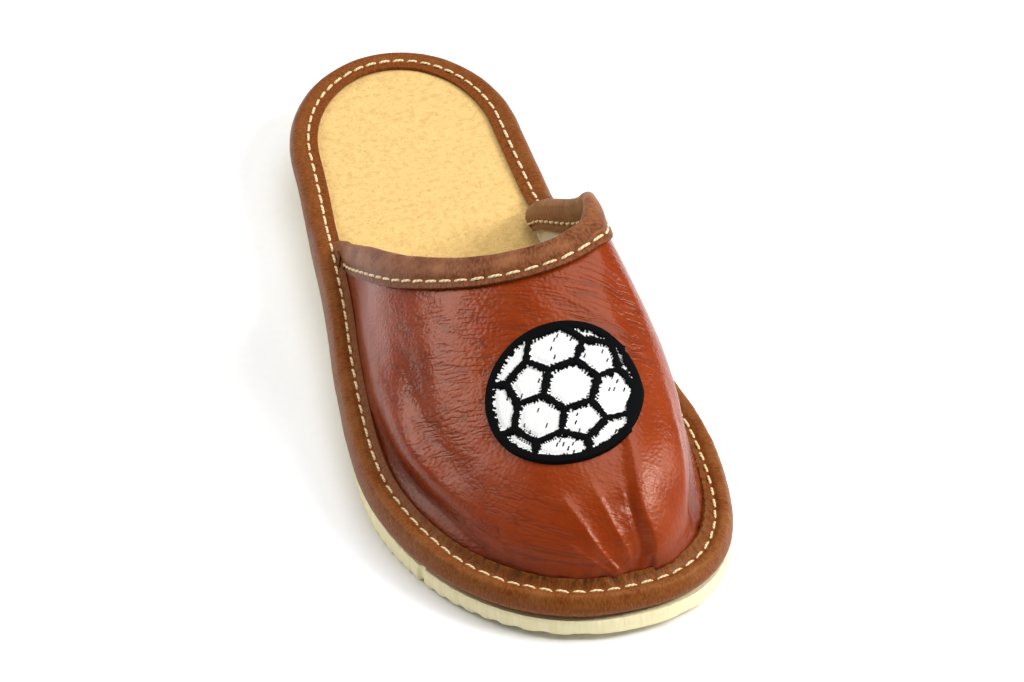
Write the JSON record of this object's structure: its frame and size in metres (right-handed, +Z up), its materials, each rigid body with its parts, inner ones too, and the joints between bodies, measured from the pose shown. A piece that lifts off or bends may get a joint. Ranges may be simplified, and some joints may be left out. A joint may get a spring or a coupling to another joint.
{
  "type": "house slipper",
  "caption": "Right house slipper: closed-toe leather mule with a bound edge, felt insole, ribbed foam sole, bound collar and a round ball embroidery on the vamp.",
  "frame": {"origin": "bottom centre of the slipper's bounding box, on the floor under the middle of the sole", "axes": "+Y from the heel to the toe, +X to the wearer's right, which is the outer side of this right slipper, +Z up"},
  "size_m": [0.0963, 0.26, 0.07],
  "materials": {
    "foam_sole": "matte cream foam",
    "felt_insole": "matte flecked felt",
    "binding_leather": "satin",
    "vamp_leather": "glossy, grained",
    "collar_leather": "matte, grained",
    "embroidery_thread": "satin thread"
  },
  "bodies": {
    "root": {"outsole": "foam_sole", "insole": "felt_insole", "edge_binding": "binding_leather", "vamp": "vamp_leather", "collar_binding": "collar_leather", "ball_embroidery": "embroidery_thread"}
  },
  "joints": []
}
